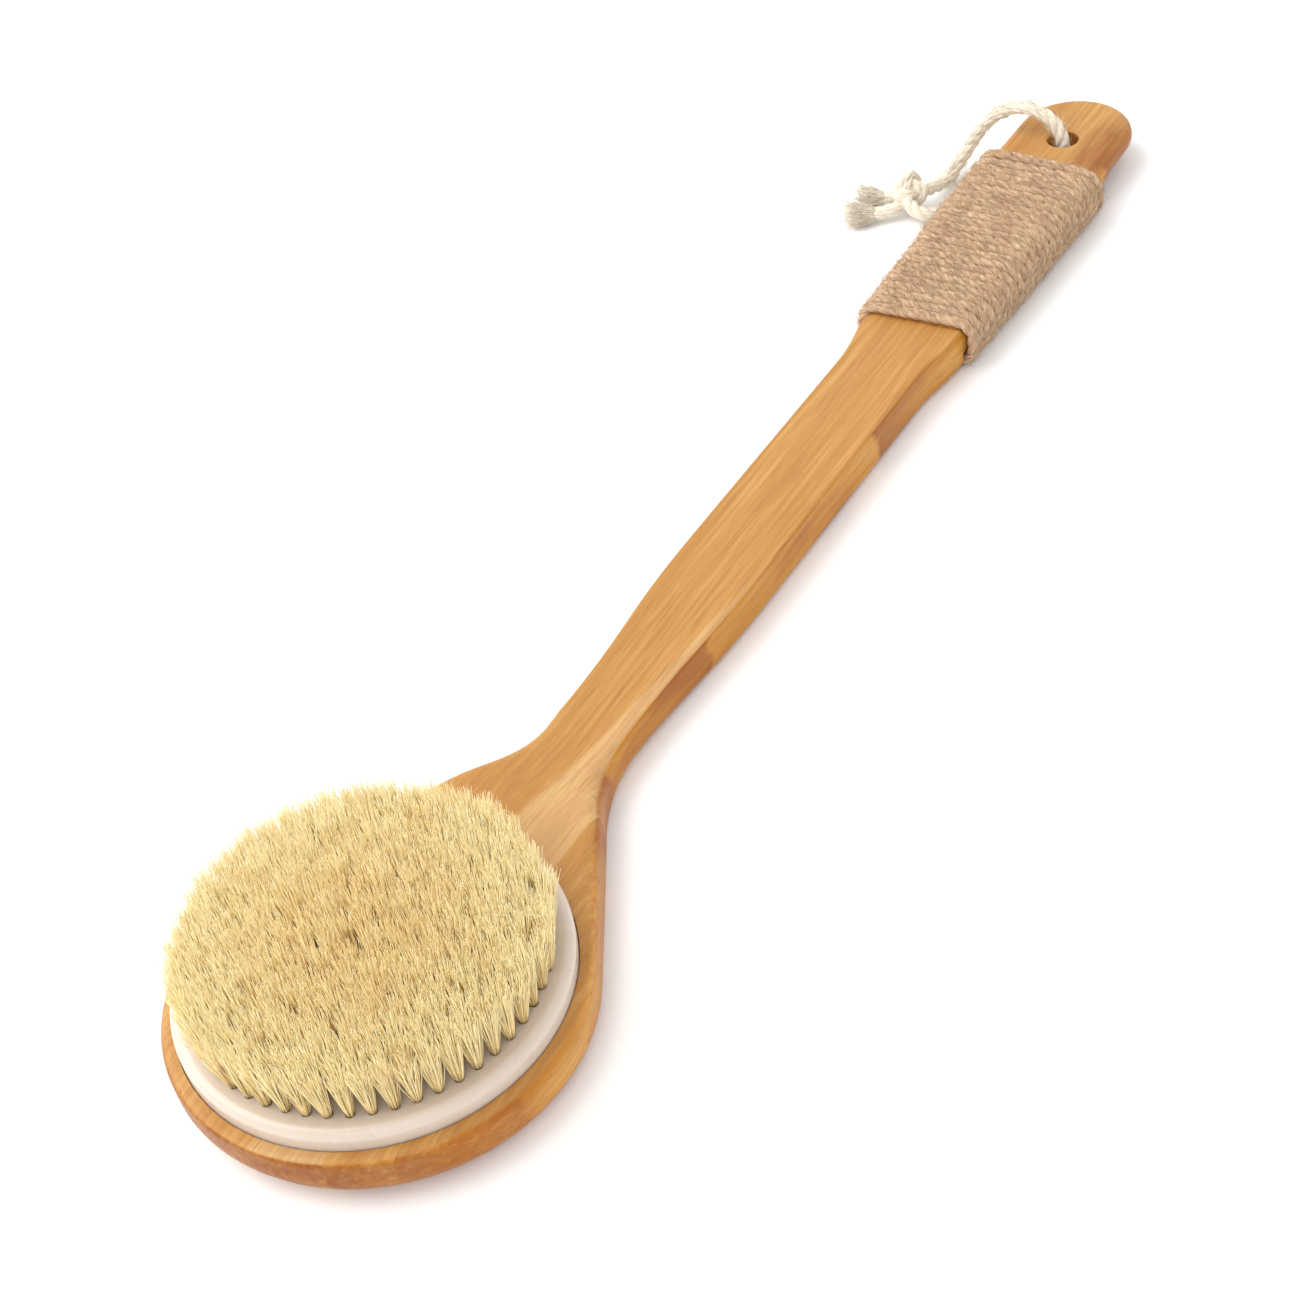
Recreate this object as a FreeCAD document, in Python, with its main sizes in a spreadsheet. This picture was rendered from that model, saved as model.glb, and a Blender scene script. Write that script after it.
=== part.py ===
import FreeCAD, Part
import Sketcher
import math
import os

# Long-handled body dry brush lying on its flat back, bristles up.
# Millimetres. X runs from the middle of the round head along the handle to its tip,
# Z is up, and the origin is the middle of the head's flat back.

# ----------------------------------------------------------------------------
# Driving dimensions: every entry becomes one named cell of the sheet.
# ----------------------------------------------------------------------------
SIZES = {
    # bamboo head
    "head_radius": 46.3,
    "head_thickness": 13.4,
    "recess_radius": 43.1,
    "recess_floor": 9.6,
    # handle in plan: half widths at the places where its sides run straight
    "neck_place": 88.0,
    "neck_half_width": 9.8,
    "neck_bend": 52.0,
    "waist_start": 145.0,
    "waist_end": 230.0,
    "waist_half_width": 12.1,
    "shoulder_place": 254.0,
    "shoulder_half_width": 14.4,
    # handle from the side: height of its face at the same kind of places
    "face_end": 46.5,
    "dip_place": 82.0,
    "dip_height": 11.0,
    "rise_place": 160.0,
    "rise_height": 12.3,
    # the core that the twine is wound on widens towards the tip beyond it
    "core_half_width": 14.6,
    "core_bottom": 2.8,
    "core_top": 12.7,
    "core_edge": 3.6,
    "grip_end": 341.0,
    "tip_place": 381.5,
    "tip_half_width": 17.4,
    "relief_start": 345.0,
    "relief_end": 350.5,
    "tip_bottom": 5.2,
    "hole_place": 355.7,
    "hole_radius": 4.6,
    "hole_edge": 0.8,
    # edge rounding of the head and the handle
    "face_edge": 1.0,
    "junction_face_edge": 4.0,
    "head_back_edge": 8.5,
    "junction_back_edge": 5.0,
    "handle_back_edge": 3.0,
    # glue lines between the bamboo staves, from the -Y side to the +Y side
    "glue_line_1": -30.0,
    "glue_line_2": -18.0,
    "glue_line_3": -1.5,
    "glue_line_4": 18.0,
    "glue_line_5": 31.0,
    # bristle plate
    "plate_radius": 42.9,
    "plate_bottom": 10.0,
    "plate_top": 18.4,
    "plate_edge": 2.2,
    "adhesive_radius": 41.0,
    # tufts and their anchors
    "tuft_hole_radius": 1.05,
    "tuft_hole_floor": 12.0,
    "tuft_root_radius": 1.0,
    "tuft_tip_radius": 2.05,
    "outer_ring_radius": 37.8,
    "ring_spacing": 4.4,
    "tuft_spacing": 4.48,
    "free_length": 16.0,
    "trim_dome": 2.0,
    "anchor_length": 1.9,
    "anchor_height": 1.2,
    "anchor_thickness": 0.35,
    "anchor_lift": 0.6,
    # twine winding of the grip
    "twine_thickness": 2.8,
    "twine_round": 1.2,
    # hanging cord
    "cord_diameter": 4.5,
    "knot_radius": 6.4,
    "fray_radius": 2.9,
    "fray_length": 8.6,
}

TUFT_RINGS = 9
RING_TURN = 137.5  # degrees that each ring is turned from the one outside it

TWINE_TURNS = 24

CLEARANCE = 5  # how far a cutting outline runs past what it cuts
CLOSE = 0.01  # how near counts as the same place

# The hanging cord's route, from the knot over the tip's edge, down through the hole,
# out under the tip and back beside the grip to the knot.
CORD_ROUTE = [
    (327.8, 33.1, 4.8),
    (336.2, 30.7, 2.7),
    (345.6, 31.2, 3.0),
    (353.2, 29.4, 7.8),
    (356.8, 25.0, 15.2),
    (357.6, 16.2, 20.4),
    (356.6, 7.4, 20.6),
    (355.6, 1.0, 16.2),
    (355.4, -0.6, 9.4),
    (355.9, 0.6, 5.0),
    (356.4, 4.8, 2.5),
    (356.2, 11.4, 2.5),
    (352.4, 18.6, 2.5),
    (345.4, 23.1, 2.5),
    (337.2, 23.6, 2.5),
    (329.8, 22.9, 2.5),
    (323.2, 23.6, 2.5),
    (317.9, 27.0, 2.7),
    (317.4, 32.8, 3.9),
    (321.2, 36.4, 5.8),
]
KNOT_CENTRE = (324.3, 36.5, 6.6)

# The two cut ends of the cord: out of the knot, then frayed over their last stretch.
TAIL_ROUTES = {
    "lower": [(320.7, 36.6, 4.2), (317.7, 38.2, 3.3), (315.0, 41.2, 2.7), (313.4, 43.6, 3.0)],
    "upper": [(323.6, 39.2, 3.2), (321.8, 44.3, 3.4)],
}

doc = FreeCAD.newDocument("BodyBrush")
sheet = doc.addObject("Spreadsheet::Sheet", "Sizes")


def fill_sheet():
    """Write every driving dimension into a named cell."""
    for row, (name, value) in enumerate(SIZES.items(), start=1):
        sheet.set(f"A{row}", name)
        sheet.set(f"B{row}", str(value))
        sheet.setAlias(f"B{row}", name)
    doc.recompute()


def new_body(label):
    """A PartDesign body with the given label."""
    body = doc.addObject("PartDesign::Body", label)
    body.Label = label
    return body


def sketch_on(body, role, name, lift=None):
    """A sketch on one of the body's own origin planes, lifted by an expression if one is given."""
    sketch = body.newObject("Sketcher::SketchObject", name)
    plane = next(item for item in body.Origin.OriginFeatures if item.Role == role)
    sketch.AttachmentSupport = [(plane, "")]
    sketch.MapMode = "FlatFace"
    if lift is not None:
        sketch.setExpression("AttachmentOffset.Base.z", lift)
    return sketch


class Outline:
    """Lines and arcs in a sketch, with their key points bound to the sheet.

    A coordinate is a number, the name of a cell, with a minus sign in front where it is mirrored,
    or a pair of a value and the expression that gives it.
    """

    def __init__(self, sketch):
        self.sketch = sketch
        self.first = None
        self.last = None

    @staticmethod
    def value(coordinate):
        if isinstance(coordinate, tuple):
            return coordinate[0]
        if isinstance(coordinate, str):
            sign = -1 if coordinate.startswith("-") else 1
            return sign * SIZES[coordinate.lstrip("-")]
        return coordinate

    def vector(self, point):
        return FreeCAD.Vector(self.value(point[0]), self.value(point[1]), 0)

    def join(self, start, kind="Coincident"):
        """Join the last end to the start of a new piece."""
        if self.last is None:
            self.first = start
        else:
            self.sketch.addConstraint(Sketcher.Constraint(kind, *self.last, *start))

    def pin(self, geometry, position, point):
        """Hold one point at its place, measured from the sketch's origin."""
        for axis, coordinate in zip(("DistanceX", "DistanceY"), point):
            place = self.value(coordinate)
            index = self.sketch.addConstraint(Sketcher.Constraint(axis, -1, 1, geometry, position, place))
            if isinstance(coordinate, tuple):
                self.sketch.setExpression(f"Constraints[{index}]", coordinate[1])
            if isinstance(coordinate, str):
                sign = "-" if coordinate.startswith("-") else ""
                self.sketch.setExpression(f"Constraints[{index}]", f"{sign}Sizes.{coordinate.lstrip('-')}")

    def line(self, start, end, hold=True):
        """A straight run whose far end is held at its place, unless something else holds it."""
        index = self.sketch.addGeometry(Part.LineSegment(self.vector(start), self.vector(end)), False)
        self.join((index, 1))
        if hold:
            self.pin(index, 2, end)
        self.last = (index, 2)

    def s_curve(self, start, end):
        """Two equal arcs that leave the start and reach the end along the sketch's first axis."""
        a = self.vector(start)
        b = self.vector(end)
        middle = (a + b) / 2
        half_run = (b.x - a.x) / 2
        half_rise = (b.y - a.y) / 2
        radius = (half_run ** 2 + half_rise ** 2) / (2 * half_rise)
        centre_a = FreeCAD.Vector(a.x, a.y + radius, 0)
        centre_b = FreeCAD.Vector(b.x, b.y - radius, 0)
        first = self.add_arc(a, middle, centre_a)
        self.join(first[0])
        second = self.add_arc(middle, b, centre_b)
        self.sketch.addConstraint(Sketcher.Constraint("Tangent", *first[1], *second[0]))
        self.sketch.addConstraint(Sketcher.Constraint("Equal", first[0][0], second[0][0]))
        self.sketch.addConstraint(Sketcher.Constraint("Vertical", *first[0], first[0][0], 3))
        self.sketch.addConstraint(Sketcher.Constraint("Vertical", *second[1], second[0][0], 3))
        self.pin(*second[1], end)
        self.last = second[1]

    def add_arc(self, start, end, centre):
        """The shorter arc from start to end, and its two ends as (geometry, position) pairs."""
        angle_start = math.atan2(start.y - centre.y, start.x - centre.x)
        angle_end = math.atan2(end.y - centre.y, end.x - centre.x)
        turn = (angle_end - angle_start) % (2 * math.pi)
        circle = Part.Circle(centre, FreeCAD.Vector(0, 0, 1), (start - centre).Length)
        if turn <= math.pi:
            index = self.sketch.addGeometry(Part.ArcOfCircle(circle, angle_start, angle_start + turn), False)
            return (index, 1), (index, 2)
        arc = Part.ArcOfCircle(circle, angle_end, angle_end + 2 * math.pi - turn)
        index = self.sketch.addGeometry(arc, False)
        return (index, 2), (index, 1)

    def round_corner(self, start, end, centre):
        """One arc about a centre, tangent to the run before it."""
        ends = self.add_arc(self.vector(start), self.vector(end), self.vector(centre))
        self.join(ends[0], "Tangent")
        self.pin(*ends[1], end)
        self.last = ends[1]

    def close(self):
        self.sketch.addConstraint(Sketcher.Constraint("Coincident", *self.last, *self.first))


def pad(body, sketch, name, length):
    """Add material along the sketch's normal, over a length given by an expression."""
    feature = body.newObject("PartDesign::Pad", name)
    feature.Profile = sketch
    feature.setExpression("Length", length)
    return feature


def pocket(body, sketch, name, depth=None):
    """Take material away against the sketch's normal, or right through both ways."""
    feature = body.newObject("PartDesign::Pocket", name)
    feature.Profile = sketch
    if depth is None:
        feature.Type = "ThroughAll"
        feature.Midplane = True
    else:
        feature.setExpression("Length", depth)
    return feature


def round_edges(body, feature, name, radius_cell, keep):
    """Round the edges of the feature that keep() picks."""
    doc.recompute()
    names = [f"Edge{i}" for i, edge in enumerate(feature.Shape.Edges, start=1) if keep(edge)]
    fillet = body.newObject("PartDesign::Fillet", name)
    fillet.Base = (feature, names)
    fillet.setExpression("Radius", f"Sizes.{radius_cell}")
    doc.recompute()
    return fillet


def across(edge):
    """True for a straight edge that runs from one side of the handle to the other."""
    a, b = edge.Vertexes[0].Point, edge.Vertexes[-1].Point
    return len(edge.Vertexes) == 2 and abs(a.x - b.x) < CLOSE and abs(a.z - b.z) < CLOSE


def blade_plan(sketch):
    """Half of the head and handle from above, from the head's end round to the shoulder.

    A straight flank leaves the head and bends into the neck, tangent to both.
    """
    radius = SIZES["head_radius"]
    bend = SIZES["neck_bend"]
    neck = FreeCAD.Vector(SIZES["neck_place"], SIZES["neck_half_width"], 0)
    bend_centre = neck + FreeCAD.Vector(0, bend, 0)
    turn = math.atan2(bend_centre.y, bend_centre.x) + math.acos((radius + bend) / bend_centre.Length)
    outward = FreeCAD.Vector(math.cos(turn), math.sin(turn), 0)
    flank_start = outward * radius
    flank_end = bend_centre - outward * bend
    head_end = FreeCAD.Vector(-radius, 0, 0)

    outline = Outline(sketch)
    head = outline.add_arc(head_end, flank_start, FreeCAD.Vector(0, 0, 0))
    outline.join(head[0])
    outline.pin(*head[0], ("-head_radius", 0))
    sketch.addConstraint(Sketcher.Constraint("Coincident", head[0][0], 3, -1, 1))
    flank = sketch.addGeometry(Part.LineSegment(flank_start, flank_end), False)
    sketch.addConstraint(Sketcher.Constraint("Tangent", *head[1], flank, 1))
    neck_arc = outline.add_arc(flank_end, neck, bend_centre)
    sketch.addConstraint(Sketcher.Constraint("Tangent", flank, 2, *neck_arc[0]))
    outline.pin(*neck_arc[1], ("neck_place", "neck_half_width"))
    sketch.addConstraint(Sketcher.Constraint("Vertical", *neck_arc[1], neck_arc[0][0], 3))
    size = sketch.addConstraint(Sketcher.Constraint("Radius", neck_arc[0][0], bend))
    sketch.setExpression(f"Constraints[{size}]", "Sizes.neck_bend")
    outline.last = neck_arc[1]
    outline.s_curve(("neck_place", "neck_half_width"), ("waist_start", "waist_half_width"))
    outline.line(("waist_start", "waist_half_width"), ("waist_end", "waist_half_width"))
    outline.s_curve(("waist_end", "waist_half_width"), ("shoulder_place", "shoulder_half_width"))
    outline.line(("shoulder_place", "shoulder_half_width"), ("shoulder_place", 0))
    outline.line(("shoulder_place", 0), ("-head_radius", 0), hold=False)
    outline.close()


def face_cut(sketch):
    """Everything above the face of the handle, seen from the side."""
    outline = Outline(sketch)
    clear = (SIZES["head_thickness"] + CLEARANCE, f"Sizes.head_thickness + {CLEARANCE}")
    outline.line(("shoulder_place", clear), ("face_end", clear))
    outline.line(("face_end", clear), ("face_end", "head_thickness"))
    outline.s_curve(("face_end", "head_thickness"), ("dip_place", "dip_height"))
    outline.s_curve(("dip_place", "dip_height"), ("rise_place", "rise_height"))
    outline.line(("rise_place", "rise_height"), ("shoulder_place", "rise_height"))
    outline.line(("shoulder_place", "rise_height"), ("shoulder_place", clear), hold=False)
    outline.close()


def tip_relief(sketch):
    """Everything under the raised tip, so that the cord has room when the brush lies on its back."""
    outline = Outline(sketch)
    below = (SIZES["core_bottom"] - CLEARANCE, f"Sizes.core_bottom - {CLEARANCE}")
    beyond = (SIZES["tip_place"] + CLEARANCE, f"Sizes.tip_place + {CLEARANCE}")
    outline.s_curve(("relief_start", "core_bottom"), ("relief_end", "tip_bottom"))
    outline.line(("relief_end", "tip_bottom"), (beyond, "tip_bottom"))
    outline.line((beyond, "tip_bottom"), (beyond, below))
    outline.line((beyond, below), ("relief_start", below))
    outline.line(("relief_start", below), ("relief_start", "core_bottom"))
    outline.close()


def core_plan(sketch):
    """The core of the grip, which widens towards the half-round tip, from above."""
    outline = Outline(sketch)
    width = SIZES["tip_half_width"]
    arc_x = (SIZES["tip_place"] - width, "Sizes.tip_place - Sizes.tip_half_width")
    outline.line(("shoulder_place", "core_half_width"), ("shoulder_place", "-core_half_width"))
    outline.line(("shoulder_place", "-core_half_width"), ("grip_end", "-tip_half_width"))
    outline.line(("grip_end", "-tip_half_width"), (arc_x, "-tip_half_width"))
    centre = FreeCAD.Vector(arc_x[0], 0, 0)
    start = FreeCAD.Vector(arc_x[0], -width, 0)
    end = FreeCAD.Vector(arc_x[0], width, 0)
    ends = outline.add_arc(start, end, centre)
    outline.join(ends[0], "Tangent")
    outline.pin(*ends[1], (arc_x, "tip_half_width"))
    outline.last = ends[1]
    outline.line((arc_x, "tip_half_width"), ("grip_end", "tip_half_width"))
    outline.line(("grip_end", "tip_half_width"), ("shoulder_place", "core_half_width"))
    outline.close()


def circle(sketch, place_x, place_y, radius_cell):
    """A circle whose centre and radius are bound to the sheet."""
    outline = Outline(sketch)
    centre = outline.vector((place_x, place_y))
    index = sketch.addGeometry(Part.Circle(centre, FreeCAD.Vector(0, 0, 1), SIZES[radius_cell]), False)
    outline.pin(index, 3, (place_x, place_y))
    radius = sketch.addConstraint(Sketcher.Constraint("Radius", index, SIZES[radius_cell]))
    sketch.setExpression(f"Constraints[{radius}]", f"Sizes.{radius_cell}")


def build_blade():
    """The head with the recess for its plate, and the handle as far as the grip's shoulder.

    One half is shaped and rounded, and the other is its mirror image.
    """
    body = new_body("blade_blank")
    plan = sketch_on(body, "XY_Plane", "BladePlan")
    blade_plan(plan)
    pad(body, plan, "Blade", "Sizes.head_thickness")
    cut = sketch_on(body, "XZ_Plane", "FaceCurve")
    face_cut(cut)
    pocket(body, cut, "Face")

    recess = sketch_on(body, "XY_Plane", "RecessSketch", lift="Sizes.head_thickness")
    circle(recess, 0, 0, "recess_radius")
    pocket(body, recess, "Recess", "Sizes.head_thickness - Sizes.recess_floor")
    doc.recompute()
    half = round_blade(body)
    mirrored = doc.addObject("Part::Mirroring", "blade_mirrored")
    mirrored.Source = half
    mirrored.Normal = FreeCAD.Vector(0, 1, 0)
    blade = doc.addObject("Part::Fuse", "blade")
    blade.Base = half
    blade.Tool = mirrored
    blade.Refine = True
    doc.recompute()
    return blade


def round_blade(blank):
    """Round the long edges of the face and the back, most where the neck leaves the head."""

    def radius_at(vertex, cells):
        head, junction, handle = [SIZES[cell] for cell in cells]
        if vertex.Point.x < -SIZES["head_radius"] + CLOSE:
            return head
        share = (vertex.Point.x - SIZES["face_end"]) / (SIZES["neck_place"] - SIZES["face_end"])
        return junction + (handle - junction) * min(max(share, 0), 1)

    edges = []
    for number, edge in enumerate(blank.Shape.Edges, start=1):
        box = edge.BoundBox
        in_recess = max(-box.XMin, box.XMax) < SIZES["recess_radius"] + CLOSE
        if across(edge) or in_recess or box.YMax < CLOSE:
            continue
        if box.ZMax < CLOSE:
            cells = ("head_back_edge", "junction_back_edge", "handle_back_edge")
        elif box.ZMin > SIZES["head_thickness"] / 2:
            cells = ("face_edge", "junction_face_edge", "face_edge")
        else:
            continue
        first = radius_at(edge.firstVertex(), cells)
        last = radius_at(edge.lastVertex(), cells)
        edges.append((number, first, last))
    rounded = doc.addObject("Part::Fillet", "blade_rounded")
    rounded.Base = blank
    rounded.Edges = edges
    doc.recompute()
    return rounded


def build_core():
    """The core that the twine is wound on, and the half-round tip with its hanging hole."""
    body = new_body("core_blank")
    plan = sketch_on(body, "XY_Plane", "CorePlan", lift="Sizes.core_bottom")
    core_plan(plan)
    pad(body, plan, "Core", "Sizes.core_top - Sizes.core_bottom")
    side = sketch_on(body, "XZ_Plane", "TipRelief")
    tip_relief(side)
    relief = pocket(body, side, "Relief")

    def long_edge(edge):
        upright = edge.BoundBox.ZLength > SIZES["core_edge"]
        at_shoulder = edge.BoundBox.XMax < SIZES["shoulder_place"] + CLOSE
        return not upright and not at_shoulder and not across(edge)

    rounded = round_edges(body, relief, "CoreRounding", "core_edge", long_edge)
    hole_sketch = sketch_on(body, "XY_Plane", "HangHole")
    circle(hole_sketch, "hole_place", 0, "hole_radius")
    hole = pocket(body, hole_sketch, "Hole")

    def rim(edge):
        return len(edge.Vertexes) == 1

    round_edges(body, hole, "HoleRounding", "hole_edge", rim)
    return body


def build_wood():
    """The whole bamboo body before it is divided into its staves."""
    wood = doc.addObject("Part::Fuse", "wood_blank")
    wood.Base = build_blade()
    wood.Tool = build_core()
    doc.recompute()
    return wood


def build_staves(blank):
    """Divide the bamboo body at its glue lines into edge-glued staves."""
    names = [
        "stave_right_outer",
        "stave_right_middle",
        "stave_right_centre",
        "stave_left_centre",
        "stave_left_middle",
        "stave_left_outer",
    ]
    margin = 2
    sides = f"Sizes.head_radius + {margin}"
    lines = [f"-({sides})"] + [f"Sizes.glue_line_{i}" for i in range(1, 6)] + [sides]
    staves = []
    for name, low, high in zip(names, lines, lines[1:]):
        envelope = doc.addObject("Part::Box", f"{name}_envelope")
        envelope.setExpression("Length", f"Sizes.head_radius + Sizes.tip_place + {2 * margin}")
        envelope.setExpression("Width", f"({high}) - ({low})")
        envelope.setExpression("Height", f"Sizes.head_thickness + {2 * margin}")
        envelope.setExpression("Placement.Base.x", f"-Sizes.head_radius - {margin}")
        envelope.setExpression("Placement.Base.y", low)
        envelope.Placement.Base.z = -margin
        stave = doc.addObject("Part::Common", name)
        stave.Label = name
        stave.Base = blank
        stave.Tool = envelope
        staves.append(stave)
    return staves


def ring_place(ring):
    """Radius and start angle of a ring of tufts, each with the expression that gives it."""
    radius = SIZES["outer_ring_radius"] - ring * SIZES["ring_spacing"]
    radius_text = f"(Sizes.outer_ring_radius - {ring} * Sizes.ring_spacing)"
    angle = RING_TURN * ring
    place_x = (radius * math.cos(math.radians(angle)), f"{radius_text} * cos({angle} deg)")
    place_y = (radius * math.sin(math.radians(angle)), f"{radius_text} * sin({angle} deg)")
    return radius_text, place_x, place_y


def around_axis(body, originals, name, radius_text):
    """Repeat features round the head's axis at the tuft spacing."""
    pattern = body.newObject("PartDesign::PolarPattern", name)
    pattern.Originals = originals
    axis = next(item for item in body.Origin.OriginFeatures if item.Role == "Z_Axis")
    pattern.Axis = (axis, [""])
    pattern.Angle = 360
    pattern.setExpression("Occurrences", f"floor(2 * pi * {radius_text} / Sizes.tuft_spacing)")
    body.Tip = pattern
    return pattern


def build_plate():
    """The moulded plate with a blind hole for every tuft."""
    body = new_body("bristle_plate")
    section = sketch_on(body, "XZ_Plane", "PlateSection")
    outline = Outline(section)
    outline.line((0, "plate_bottom"), ("plate_radius", "plate_bottom"))
    outline.line(("plate_radius", "plate_bottom"), ("plate_radius", "plate_top"))
    outline.line(("plate_radius", "plate_top"), (0, "plate_top"))
    outline.line((0, "plate_top"), (0, "plate_bottom"))
    outline.close()
    disc = body.newObject("PartDesign::Revolution", "Disc")
    disc.Profile = section
    disc.ReferenceAxis = (section, ["V_Axis"])
    disc.Angle = 360

    def rim(edge):
        top = edge.BoundBox.ZMin > SIZES["plate_top"] - CLOSE
        return top and edge.BoundBox.XMax > SIZES["plate_radius"] - CLOSE

    round_edges(body, disc, "RimRounding", "plate_edge", rim)
    for ring in range(TUFT_RINGS):
        radius_text, place_x, place_y = ring_place(ring)
        sketch = sketch_on(body, "XY_Plane", f"HoleSketch{ring + 1}", lift="Sizes.plate_top")
        circle(sketch, place_x, place_y, "tuft_hole_radius")
        hole = pocket(body, sketch, f"TuftHole{ring + 1}", "Sizes.plate_top - Sizes.tuft_hole_floor")
        doc.recompute()
        around_axis(body, [hole], f"TuftHoles{ring + 1}", radius_text)
        doc.recompute()
    return body


def primitive(body, kind, name, place, **sizes):
    """A PartDesign primitive with its place and sizes bound by expressions."""
    feature = body.newObject(f"PartDesign::{kind}", name)
    for axis, expression in zip("xyz", place):
        feature.setExpression(f"Placement.Base.{axis}", expression)
    for size, expression in sizes.items():
        feature.setExpression(size, expression)
    return feature


def build_adhesive():
    """The thin layer of glue that holds the plate in the head's recess."""
    body = new_body("plate_adhesive")
    primitive(
        body, "AdditiveCylinder", "Glue", ("0", "0", "Sizes.recess_floor"),
        Radius="Sizes.adhesive_radius", Height="Sizes.plate_bottom - Sizes.recess_floor",
    )
    return body


def tip_height(radius_text):
    """Free length of the tufts at a radius: the trim is a shallow dome."""
    return f"Sizes.free_length - Sizes.trim_dome * ({radius_text} / Sizes.outer_ring_radius)^2"


def build_tuft_ring(ring):
    """One ring of bristle tufts: a root in its hole and a head that spreads to the trimmed end."""
    body = new_body(f"tuft_ring_{ring + 1}")
    radius_text, place_x, place_y = ring_place(ring)
    place = (place_x[1], place_y[1])
    root = primitive(
        body, "AdditiveCylinder", f"Root{ring + 1}", (*place, "Sizes.tuft_hole_floor"),
        Radius="Sizes.tuft_root_radius", Height="Sizes.plate_top - Sizes.tuft_hole_floor",
    )
    head = primitive(
        body, "AdditiveCone", f"Head{ring + 1}", (*place, "Sizes.plate_top"),
        Radius1="Sizes.tuft_root_radius", Radius2="Sizes.tuft_tip_radius", Height=tip_height(radius_text),
    )
    slot = primitive(
        body, "SubtractiveBox", f"Slot{ring + 1}",
        (
            f"{place[0]} - Sizes.tuft_hole_radius",
            f"{place[1]} - Sizes.anchor_thickness / 2",
            "Sizes.tuft_hole_floor + Sizes.anchor_lift",
        ),
        Length="2 * Sizes.tuft_hole_radius", Width="Sizes.anchor_thickness", Height="Sizes.anchor_height",
    )
    doc.recompute()
    around_axis(body, [root, head, slot], f"Tufts{ring + 1}", radius_text)
    return body


def build_anchors():
    """The flat wire anchors that pin the folded tufts in their holes."""
    body = new_body("tuft_anchors")
    for ring in range(TUFT_RINGS):
        radius_text, place_x, place_y = ring_place(ring)
        anchor = primitive(
            body, "AdditiveBox", f"Anchor{ring + 1}",
            (
                f"{place_x[1]} - Sizes.anchor_length / 2",
                f"{place_y[1]} - Sizes.anchor_thickness / 2",
                "Sizes.tuft_hole_floor + Sizes.anchor_lift",
            ),
            Length="Sizes.anchor_length", Width="Sizes.anchor_thickness", Height="Sizes.anchor_height",
        )
        doc.recompute()
        around_axis(body, [anchor], f"Anchors{ring + 1}", radius_text)
        doc.recompute()
    return body


def rounded_section(sketch, width, width_text, grow, grow_text):
    """The rounded oblong section of the grip's core, grown outwards by a distance."""
    edge = SIZES["core_edge"]
    inner = (width - edge, f"{width_text} - Sizes.core_edge")
    outer = (width + grow, f"{width_text} + {grow_text}")
    left = (-inner[0], f"-({inner[1]})")
    far_left = (-outer[0], f"-({outer[1]})")
    low = (SIZES["core_bottom"] - grow, f"Sizes.core_bottom - {grow_text}")
    high = (SIZES["core_top"] + grow, f"Sizes.core_top + {grow_text}")
    low_bend = (SIZES["core_bottom"] + edge, "Sizes.core_bottom + Sizes.core_edge")
    high_bend = (SIZES["core_top"] - edge, "Sizes.core_top - Sizes.core_edge")

    outline = Outline(sketch)
    outline.line((left, low), (inner, low))
    outline.round_corner((inner, low), (outer, low_bend), (inner, low_bend))
    outline.line((outer, low_bend), (outer, high_bend))
    outline.round_corner((outer, high_bend), (inner, high), (inner, high_bend))
    outline.line((inner, high), (left, high))
    outline.round_corner((left, high), (far_left, high_bend), (left, high_bend))
    outline.line((far_left, high_bend), (far_left, low_bend))
    outline.round_corner((far_left, low_bend), (left, low), (left, low_bend))
    outline.close()


def build_turn(turn):
    """One flattened turn of twine round the widening core."""
    body = new_body(f"turn_{turn + 1}")
    thickness = SIZES["twine_thickness"]
    flare = SIZES["tip_half_width"] - SIZES["core_half_width"]
    share = f"{turn + 1} / {TWINE_TURNS}"
    width = SIZES["core_half_width"] + flare * (turn + 1) / TWINE_TURNS
    width_text = f"(Sizes.core_half_width + (Sizes.tip_half_width - Sizes.core_half_width) * {share})"
    pitch_text = f"(Sizes.grip_end - Sizes.shoulder_place) / {TWINE_TURNS}"
    place = f"Sizes.shoulder_place + {turn} * {pitch_text}"
    section = sketch_on(body, "YZ_Plane", f"TurnSection{turn + 1}", place)
    rounded_section(section, width, width_text, thickness, "Sizes.twine_thickness")
    rounded_section(section, width, width_text, 0, "0")
    ring = pad(body, section, f"Turn{turn + 1}", pitch_text)

    def outer_edge(edge):
        box = edge.BoundBox
        sideways = max(box.YMax, -box.YMin) > width + thickness / 2
        upright = box.ZMax > SIZES["core_top"] + thickness / 2
        beneath = box.ZMin < SIZES["core_bottom"] - thickness / 2
        return box.XLength < CLOSE and (sideways or upright or beneath)

    round_edges(body, ring, f"TurnRounding{turn + 1}", "twine_round", outer_edge)
    return body


def build_twine():
    """The grip's winding: turns side by side, which make one piece of twine."""
    turns = [build_turn(turn) for turn in range(TWINE_TURNS)]
    winding = doc.addObject("Part::MultiFuse", "grip_twine")
    winding.Label = "grip_twine"
    winding.Shapes = turns
    doc.recompute()
    return winding


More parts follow.
